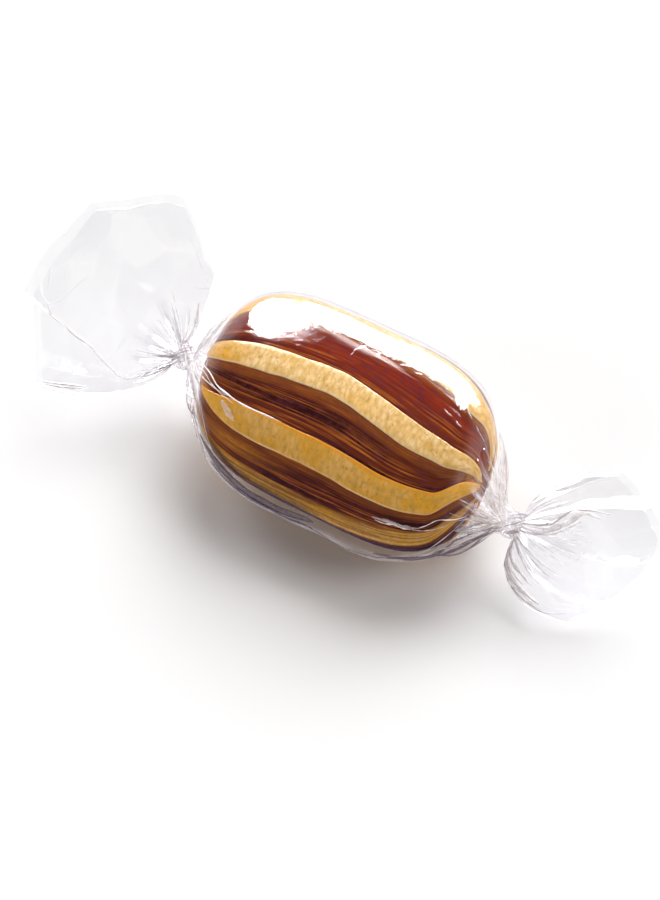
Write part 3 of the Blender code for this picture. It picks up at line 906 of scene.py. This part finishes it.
folds = {
    "rows": 48,
    "sharp": 0.7,           # a fold's height, of its half width
    "uneven": 0.45,         # how much its width varies along it, less for wide folds
    "steady": 0.1 * mm,     # the half width at which it varies half as much
    # single folds: half width in mm, paleness, cover, then the places that they pass;
    # on the sweet these are places along it and angles round it
    # pale folds here are painted highlights along the film's creases
    "onSweet": [
        (0.085, 1, 0.66, [(-0.929, 129.2), (-0.809, 131), (-0.718, 135.1), (-0.617, 136.5),
                          (-0.488, 137.3), (-0.331, 136.6), (-0.22, 136.2)]),
        (0.055, 0.9, 0.6, [(-0.92, 136.3), (-0.86, 137.4), (-0.808, 137.4), (-0.725, 137.4),
                           (-0.628, 137.6)]),
        (0.045, 0.9, 0.5, [(-0.93, 132.5), (-0.84, 133.8), (-0.76, 136.6), (-0.66, 138.4), (-0.56, 139.4)]),
        (0.09, 1, 0.7, [(0.52, 168), (0.58, 168.6), (0.637, 167.6), (0.69, 169.4), (0.734, 169.9)]),
        (0.06, 1, 0.75, [(0.734, 169.9), (0.8, 166.6), (0.866, 162.4), (0.94, 170.5), (0.984, 182.7)]),
        (0.05, 0.8, 0.6, [(0.734, 169.9), (0.82, 171.3), (0.911, 171.8)]),
        (0.2, 1, 0.2, [(0.5, 166.5), (0.6, 166.4), (0.7, 168), (0.76, 168.4)]),
        # a wide pale patch: painted reflection
        (0.34, 0.9, 0.17, [(-0.66, 141.5), (-0.61, 144), (-0.57, 146.5), (-0.53, 148.5)]),
        (0.075, 0.9, 0.7, [(-0.933, 150.6), (-0.86, 160.5), (-0.803, 169.9), (-0.7, 179), (-0.52, 187)]),
        # a dark fold along the lower film edge: painted dark reflection
        (0.06, 0.2, 0.85, [(-0.9, 158), (-0.78, 174), (-0.62, 185), (-0.42, 192), (-0.1, 198)]),
        (0.06, 1, 0.75, [(-0.817, 153), (-0.723, 169.2), (-0.641, 182.2), (-0.528, 187.5),
                         (-0.377, 189.1)]),
        # painted glints
        (0.06, 1, 0.9, [(0.675, 86.9), (0.7, 87.9), (0.734, 87.8)]),
        (0.06, 1, 0.9, [(0.76, 88.4), (0.78, 89.6), (0.8, 89.3)]),
        (0.07, 1, 0.9, [(0.774, 73.5), (0.8, 75.6), (0.828, 76.7)]),
        (0.06, 1, 0.8, [(0.86, 77), (0.89, 78.1), (0.949, 76.7)]),
        # wide dark folds low on the front: painted shade, the sweet's shadow on the floor seen through the
        # film
        (1, 0, 0.52, [(-0.78, 182), (-0.62, 189), (-0.45, 195), (-0.25, 197), (-0.05, 195), (0.12, 192)]),
        (0.6, 0, 0.45, [(-0.66, 194), (-0.48, 201), (-0.28, 204), (-0.08, 203), (0.1, 201)]),
        (0.06, 1, 0.45, [(-0.88, 176), (-0.8, 189), (-0.66, 196), (-0.5, 199), (-0.3, 201)]),
        (0.06, 0.8, 0.6, [(-0.92, 168), (-0.87, 184), (-0.77, 197), (-0.62, 203), (-0.45, 209)]),
        # dark folds low on the front: painted shade
        (0.12, 0.1, 0.55, [(0, 202), (0.2, 204), (0.45, 205), (0.62, 204), (0.86, 196)]),
        (0.08, 1, 0.6, [(0, 216), (0.2, 217), (0.55, 214), (0.86, 205)]),
        (0.55, 0, 0.5, [(0.52, 200), (0.64, 201), (0.75, 203), (0.84, 206), (0.93, 208)]),
        (0.06, 0.9, 0.7, [(0.42, 199), (0.6, 200), (0.78, 195), (0.9, 188), (0.97, 182)]),
    ],
    # in the gathers: parts of the way from the neck to the sweet, and angles
    # pale folds are painted highlights and dark ones painted dark reflections; the first, wide and dark, is
    # painted shade low on the front
    "inRightGather": [
        (0.34, 0, 0.85, [(1.5, 222), (1.2, 221), (0.9, 219), (0.6, 217), (0.3, 214), (0.02, 212)]),
        (0.15, 1, 0.95, [(1.35, 213), (1.05, 212), (0.8, 210), (0.5, 207), (0.2, 203)]),
        (0.22, 0, 0.85, [(1.1, 206), (0.8, 203), (0.5, 199), (0.25, 195), (0, 190)]),
        (0.1, 1, 0.9, [(1, 199), (0.7, 196), (0.4, 190), (0.1, 184)]),
        (0.09, 0, 0.8, [(0.8, 190), (0.5, 186), (0.2, 180)]),
        (0.17, 1, 0.85, [(0.62, 180), (0.4, 176), (0.15, 170)]),
        (0.12, 0.3, 0.6, [(0.75, 170), (0.45, 165), (0.15, 160)]),
        (0.18, 0.2, 0.6, [(1.2, 232), (0.9, 229), (0.6, 226), (0.2, 220)]),
        (0.1, 1, 0.8, [(1.1, 238), (0.8, 236), (0.4, 232)]),
        (0.11, 0.5, 0.6, [(0.5, 150), (0.3, 146), (0.05, 140)]),
    ],
    "inLeftGather": [
        # pale folds are painted highlights and dark ones painted dark reflections
        (0.12, 1, 0.8, [(1.1, 165), (0.8, 168), (0.5, 170), (0.2, 172)]),
        (0.14, 0.1, 0.65, [(1.3, 180), (0.9, 183), (0.5, 186), (0.2, 190)]),
        (0.1, 1, 0.8, [(1.2, 190), (0.8, 194), (0.4, 198)]),
        (0.16, 0.1, 0.65, [(1.2, 200), (0.8, 205), (0.4, 210)]),
        (0.11, 0.9, 0.8, [(1, 208), (0.7, 212), (0.3, 218)]),
        (0.12, 0.2, 0.6, [(0.9, 150), (0.6, 153), (0.3, 156)]),
    ],
    # on the tails: rows and columns of their grids
    # pale folds are painted highlights on the creases, grey ones painted dark reflections
    "onLeftTail": [
        (0.14, 1, 0.4, [(24, 18), (35, 23), (53, 26), (65, 29)]),
        (0.11, 1, 0.6, [(5, 63), (21, 61), (34, 60), (50, 60)]),
        (0.07, 0.5, 0.45, [(6, 65), (28, 63), (43, 62)]),
        (0.13, 1, 0.26, [(60, 28), (74, 38), (85, 50), (100, 51), (112, 50)]),
        (0.09, 0.3, 0.55, [(106, 49), (118, 49), (132, 51), (143, 53)]),
        (0.12, 0.5, 0.45, [(118, 20), (129, 21), (140, 27)]),
        (0.14, 0.8, 0.36, [(70, 229), (84, 228), (98, 226), (115, 224), (132, 222)]),
    ],
    # pale folds are painted highlights on the creases, grey ones painted dark reflections
    "onRightTail": [
        (0.26, 0.9, 0.34, [(6, 178), (20, 190), (32, 192), (44, 183), (60, 175), (76, 169), (93, 173)]),
        (0.09, 0.6, 0.34, [(14, 190), (30, 198), (42, 190), (56, 182), (72, 175)]),
        (0.17, 1, 0.8, [(8, 168), (22, 178), (36, 180), (50, 172), (66, 165), (84, 166), (104, 170)]),
        (0.15, 0.8, 0.46, [(8, 225), (26, 250), (38, 258), (52, 251), (66, 247), (80, 246)]),
        (0.13, 1, 0.85, [(10, 232), (28, 258), (44, 262), (62, 256), (78, 252)]),
        (0.22, 0.75, 0.5, [(30, 262), (48, 266), (68, 262), (90, 258), (108, 256)]),
        (0.1, 1, 0.85, [(48, 270), (66, 267), (86, 263), (104, 260)]),
        (0.12, 0.7, 0.5, [(60, 272), (80, 269), (100, 266), (118, 262)]),
        (0.07, 1, 0.95, [(70, 272), (88, 271), (108, 268), (124, 262), (132, 250)]),
    ],
    "tallest": 0.06 * mm,
    "pleatsEach": 60,       # pleats in each gather
    "front": (205, 45),     # where they are widest: angle and spread
    # random folds of each tail: how many, narrowest and widest half width in mm, least paleness, cover
    "tailPleats": (34, 0.03, 0.09, 0.75, 0.24),
    "tailCreases": (5, 0.02, 0.05, 0.75, 0.08),     # these cross the tail
    "neckFolds": (16, 0.07, 0.16, 0.5, 0.34),       # and these come out of its neck
    "seed": 5,
}


def alongCurve(points, count):
    # even steps along cubics through the points, each with half the step between its neighbours as slope
    points = np.array(points, dtype=float)
    padded = np.vstack([2 * points[0] - points[1], points, 2 * points[-1] - points[-2]])
    place = np.linspace(0, len(points) - 1, count)
    first = np.minimum(place.astype(int), len(points) - 2)
    t = (place - first)[:, None]
    a, b, c, d = (padded[first + step] for step in range(4))
    return 0.5 * (2 * b + (c - a) * t + (2 * a - 5 * b + 4 * c - d) * t ** 2
                  + (3 * b - a - 3 * c + d) * t ** 3)


def gridPaths(grid, rowPlaces, columnPlaces):
    # points and outward directions at places between the rows and columns of a closed grid
    rows, columns = grid.shape[:2]
    rowPlaces = np.clip(rowPlaces, 0, rows - 1.001)
    rowPlaces, columnPlaces = np.broadcast_arrays(rowPlaces, columnPlaces % columns)
    i, j = rowPlaces.astype(int), columnPlaces.astype(int) % columns
    down, over = (rowPlaces - i)[..., None], (columnPlaces - np.floor(columnPlaces))[..., None]
    k = (j + 1) % columns
    here = grid[i, j] * (1 - over) + grid[i, k] * over
    below = grid[i + 1, j] * (1 - over) + grid[i + 1, k] * over
    facing = unit(np.cross(grid[i, k] - grid[i, j], grid[i + 1, j] - grid[i, j]))
    return here * (1 - down) + below * down, facing


def routesOf(listed):
    # a list of single folds as smooth routes, with their half widths, palenesses and covers
    routes = np.stack([alongCurve(fold[3], folds["rows"]) for fold in listed])
    width, pale, cover = np.array([fold[:3] for fold in listed], dtype=float).T[..., None]
    return routes[..., 0], routes[..., 1], width * mm, pale, cover


def foldsOnSweet():
    # the routes lie on the film round the sweet, lifted with its facets
    along, angle, *look = routesOf(folds["onSweet"])
    facing = outwardAt(along, angle)
    lift = crumpleAt(along, angle, along) + 0.02 * mm
    centre = aboveFloor(filmPoint(along, angle) + facing * lift[..., None], film["lowest"])
    return centre, facing, *look


def foldsListedInGather(side, listed):
    # parts of the way become rows of the film's grid, and angles become its columns
    part, angle, *look = routesOf(listed)
    grid = bodySheet[0]
    turned = np.degrees(shownTurns(grid.shape[1]))
    column = np.interp((angle - turned[0]) % 360, turned - turned[0], np.arange(grid.shape[1]))
    neckRow = 3 if side < 0 else grid.shape[0] - 4
    return *gridPaths(grid, neckRow - side * part * film["gatherRows"], column), *look


def foldsListedInTail(grid, listed):
    # the routes are places between the tail's own rows and columns
    row, column, *look = routesOf(listed)
    return *gridPaths(grid, row, column), *look


def foldsInGather(side, dice):
    # pleats that run from the sweet's shoulder into the neck, each along its own column
    grid = bodySheet[0]
    count = folds["pleatsEach"]
    number = np.arange(count)[:, None]
    step = np.linspace(0, 1, folds["rows"])[None, :]
    neckRow = 0 if side < 0 else grid.shape[0] - 1
    reach = film["gatherRows"] * dice.uniform(0.3, 1.02, (count, 1))
    start = number * grid.shape[1] / count + dice.uniform(-2, 2, (count, 1))
    drift = dice.uniform(-7, 7, (count, 1))
    centre, facing = gridPaths(grid, neckRow - side * reach * (1 - step), start + drift * (1 - step) ** 2)
    # the lower front is gathered hardest: wider pleats, white painted highlights next to grey painted dark
    # reflections, greyer low on the front
    front = bell(np.degrees(shownTurns(grid.shape[1]))[start.astype(int)], *folds["front"])
    width = dice.uniform(0.03, 0.08, (count, 1)) + front * dice.uniform(0, 0.08, (count, 1))
    pale = np.where(number % 2 == 0, 1, 1 - 0.9 * front)
    return centre, facing, width * mm, pale, 0.24 + 0.46 * front


def foldsInTail(grid, side, dice):
    # pleats out of the neck, short creases that wander across the tail, and wider neck folds, white to grey
    # as painted highlights and painted dark reflections
    step = np.linspace(0, 1, folds["rows"])[None, :]
    rows, columns = grid.shape[:2]
    kinds = (folds["tailPleats"], folds["tailCreases"], folds["neckFolds"])
    many, more, few = ((kind[0], 1) for kind in kinds)
    begin = dice.uniform(0, 16, many)
    reach = rows * dice.uniform(0.12, 0.5, many) * (0.7 if side < 0 else 1)
    pleatColumns = dice.uniform(0, columns, many) + dice.uniform(-5, 5, many) * step
    creaseRows = rows * (dice.uniform(0.3, 0.95, more) + dice.uniform(-0.18, 0.18, more) * step)
    bend = dice.uniform(-1, 1, more) * np.sin(math.pi * step) * 6
    creaseColumns = dice.uniform(0, columns, more) + dice.uniform(-26, 26, more) * step + bend
    neckRows = dice.uniform(14, 34, few) * step
    neckColumns = columns / few[0] * np.arange(few[0])[:, None] + dice.uniform(-6, 6, few) * (1 + step)
    allRows = np.concatenate([begin + reach * step, creaseRows, neckRows])
    allColumns = np.concatenate([pleatColumns, creaseColumns, neckColumns])
    if side < 0:
        allRows = rows - 1 - allRows
    looks = []
    for count, narrow, wide, palest, cover in kinds:
        width, pale = dice.uniform(narrow, wide, (count, 1)), dice.uniform(palest, 1, (count, 1))
        looks.append((width, pale, np.full((count, 1), cover)))
    width, pale, cover = (np.concatenate(parts) for parts in zip(*looks))
    return *gridPaths(grid, allRows, allColumns), width * mm, pale, cover


def buildFolds():
    # thin ridges with a low four-sided section that tapers to nothing at both ends
    dice = np.random.default_rng(folds["seed"])
    families = [
        foldsOnSweet(),
        foldsInGather(-1, dice), foldsInGather(1, dice),
        foldsListedInGather(-1, folds["inLeftGather"]), foldsListedInGather(1, folds["inRightGather"]),
        foldsListedInTail(leftSheet[0], folds["onLeftTail"]),
        foldsListedInTail(rightSheet[0], folds["onRightTail"]),
        foldsInTail(leftSheet[0], -1, dice), foldsInTail(rightSheet[0], 1, dice),
    ]
    centre, facing, width, pale, cover = (np.concatenate(part) for part in zip(*families))
    aside = unit(np.cross(facing, unit(np.gradient(centre, axis=1))))
    step = np.linspace(0.012, 0.988, folds["rows"])[None, :]
    number = np.arange(len(width))[:, None]
    swing = np.sin(17 * step + 2.4 * number) + np.sin(31 * step + 5.1 * number)
    uneven = folds["uneven"] * folds["steady"] / (folds["steady"] + width)
    taper = np.sin(math.pi * step) ** 0.6 * (1 + uneven * swing)
    half = (width * taper)[..., None]
    rise = np.minimum(half * folds["sharp"], folds["tallest"])
    section = np.stack([
        centre + aside * half, centre + facing * rise, centre - aside * half, centre - facing * rise * 0.5,
    ], axis=2)
    section = aboveFloor(section, film["lowest"] * 0.5)
    shape = section.shape[:3]
    index = np.arange(math.prod(shape)).reshape(shape)
    follow = np.roll(index, -1, axis=2)
    walls = np.stack([index[:, :-1], follow[:, :-1], follow[:, 1:], index[:, 1:]], axis=-1).reshape(-1, 4)
    faces = np.concatenate([walls, index[:, 0, ::-1], index[:, -1]])
    sizes = np.full(len(faces), 4)
    masks = {label: np.broadcast_to(values[..., None], shape).reshape(-1, 1)
             for label, values in (("pale", pale), ("cover", cover))}
    print(f"filmFoldsPaintedLight: {shape[0]} folds")
    return newPiece("filmFoldsPaintedLight", section.reshape(-1, 3), faces.ravel(), sizes, foldMaterial, masks)


# folds of film that carry painted highlights and painted shade
filmPieces.append(buildFolds())
print("film built")

for piece in [sweetPiece] + stripePieces + filmPieces:
    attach(piece, "root")
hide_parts("humbug")
for number, piece in enumerate(stripePieces, start=1):
    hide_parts(f"stripe_{number}")
for piece in filmPieces:
    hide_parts("wrapper")


studio = {
    "floorColour": (0.9, 0.9, 0.9, 1),
    "fill": (0.07, 0.054, 0.05, 1),         # what the room adds to every matt surface
    "mirrored": (0.085, 0.072, 0.14, 1),    # how dark the room is in a reflection
    "mirroredRim": (1.25, 1.2, 1.22, 1),    # and how pale low down behind the sweet
    "backdrop": (1, 1, 1, 1),
    "distance": 3,
}

# Softboxes: azimuth from +Y (negative towards -X), elevation, width, height, colour, watts, lights, shines.
softboxes = {
    "keyBox": (-8, 50, 2.1, 2.3, (0.97, 0.99, 1), 89, True, False),
    "frontBox": (-148, 24, 1.6, 1.6, (1, 0.95, 0.92), 26, True, False),
    "leftBox": (-75, 38, 1.4, 1.4, (1, 1, 1), 24, True, False),
    "rightBox": (70, 38, 1.4, 1.4, (1, 1, 1), 30, True, False),
    "windowBox": (-4, 15.5, 2.6, 1.68, (1, 1, 1), 520, False, True),
    "roundBox": (-43, 21, 1.5, 2.45, (1, 1, 1), 355, False, True),
}


def buildFloor():
    # a flat grid, finely grained so that it is not quite smooth
    material, nodes = newMaterial("paleFloor")
    place = nodes.add("TexCoord").outputs["Object"]
    noise = nodes.add("TexNoise", {"Vector": place, "Scale": 900, "Detail": 3}).outputs["Fac"]
    nodes.surface(Base_Color=studio["floorColour"], Roughness=1, Specular_IOR_Level=0,
                  Normal=nodes.bump(noise, 0.05, 0.0001))
    line = np.linspace(-3, 3, 5)
    floor = sheetMesh("floor", threes(line[::-1, None], line, 0), material, joined=False)
    floor.visible_glossy = False    # reflections see the room instead


def buildRoom():
    # the room: a warm fill on matt surfaces, dark in reflections apart from the horizon behind
    world = bpy.data.worlds.new("studioRoom")
    bpy.context.scene.world = world
    world.use_nodes = True
    nodes = Nodes(world.node_tree)
    ray = nodes.add("LightPath").outputs
    heading = nodes.split(nodes.add("TexCoord").outputs["Generated"])
    # pale from a little over the horizon down to where the sweet's own shadow would be mirrored
    low = nodes.times(nodes.ramp(heading["Z"], 0.4, 0.05), nodes.ramp(heading["Z"], -0.88, -0.72))
    behind = nodes.ramp(heading["Y"], -0.25, 0.35)
    mirrored = nodes.mix(nodes.times(low, behind), studio["mirrored"], studio["mirroredRim"])
    colour = nodes.mix(ray["Is Glossy Ray"], studio["fill"], mirrored)
    colour = nodes.mix(ray["Is Camera Ray"], colour, studio["backdrop"])
    back = nodes.add("Background", {"Color": colour})
    nodes.add("OutputWorld", {"Surface": back.outputs[0]})


def buildSoftbox(name):
    # a panel of light at the studio's distance, turned to face the sweet
    azimuth, elevation, width, height, colour, watts, lights, shines = softboxes[name]
    azimuth, elevation = math.radians(azimuth), math.radians(elevation)
    light = bpy.data.lights.new(name, "AREA")
    light.shape = "ELLIPSE" if name == "roundBox" else "RECTANGLE"
    light.color = colour
    light.size = width
    light.size_y = height
    light.energy = watts
    lamp = bpy.data.objects.new(name, light)
    lamp.location = headingOf(azimuth, elevation) * np.array([1, -1, 1]) * studio["distance"]
    lamp.rotation_euler = (math.pi / 2 - elevation, 0, math.pi - azimuth)
    lamp.visible_camera = False
    lamp.visible_diffuse = lights
    lamp.visible_glossy = shines
    bpy.context.collection.objects.link(lamp)


shot = {
    "azimuth": 32.1,
    "elevation": 50,
    "distance": 228.1 * mm,
    "aside": -1.478 * mm,
    "upward": -2.637 * mm,
    "lens": 100,
}


def buildCamera():
    # looks along the photograph's direction, moved aside and up in the picture's plane
    azimuth, elevation = math.radians(shot["azimuth"]), math.radians(shot["elevation"])
    back = headingOf(azimuth, elevation)
    right = np.array([math.cos(azimuth), math.sin(azimuth), 0])
    upward = np.cross(back, right)
    target = sweetPlace + np.array([0, 0, sweet["middleZ"] - 0.05 * mm])
    camera = bpy.data.cameras.new("camera")
    camera.lens = shot["lens"]
    camera.sensor_width = 36
    camera.clip_start = 0.01
    camera.clip_end = 20
    view = bpy.data.objects.new("camera", camera)
    view.location = target + back * shot["distance"] + right * shot["aside"] + upward * shot["upward"]
    view.rotation_euler = (math.pi / 2 - elevation, 0, azimuth)
    bpy.context.collection.objects.link(view)
    bpy.context.scene.camera = view


buildFloor()
buildRoom()
for boxName in softboxes:
    buildSoftbox(boxName)
buildCamera()
scene = bpy.context.scene
scene.view_settings.view_transform = "Standard"
scene.view_settings.look = "None"
if hasattr(scene, "cycles"):
    scene.cycles.transparent_max_bounces = 32     # the film lies in many layers
print("studio ready")
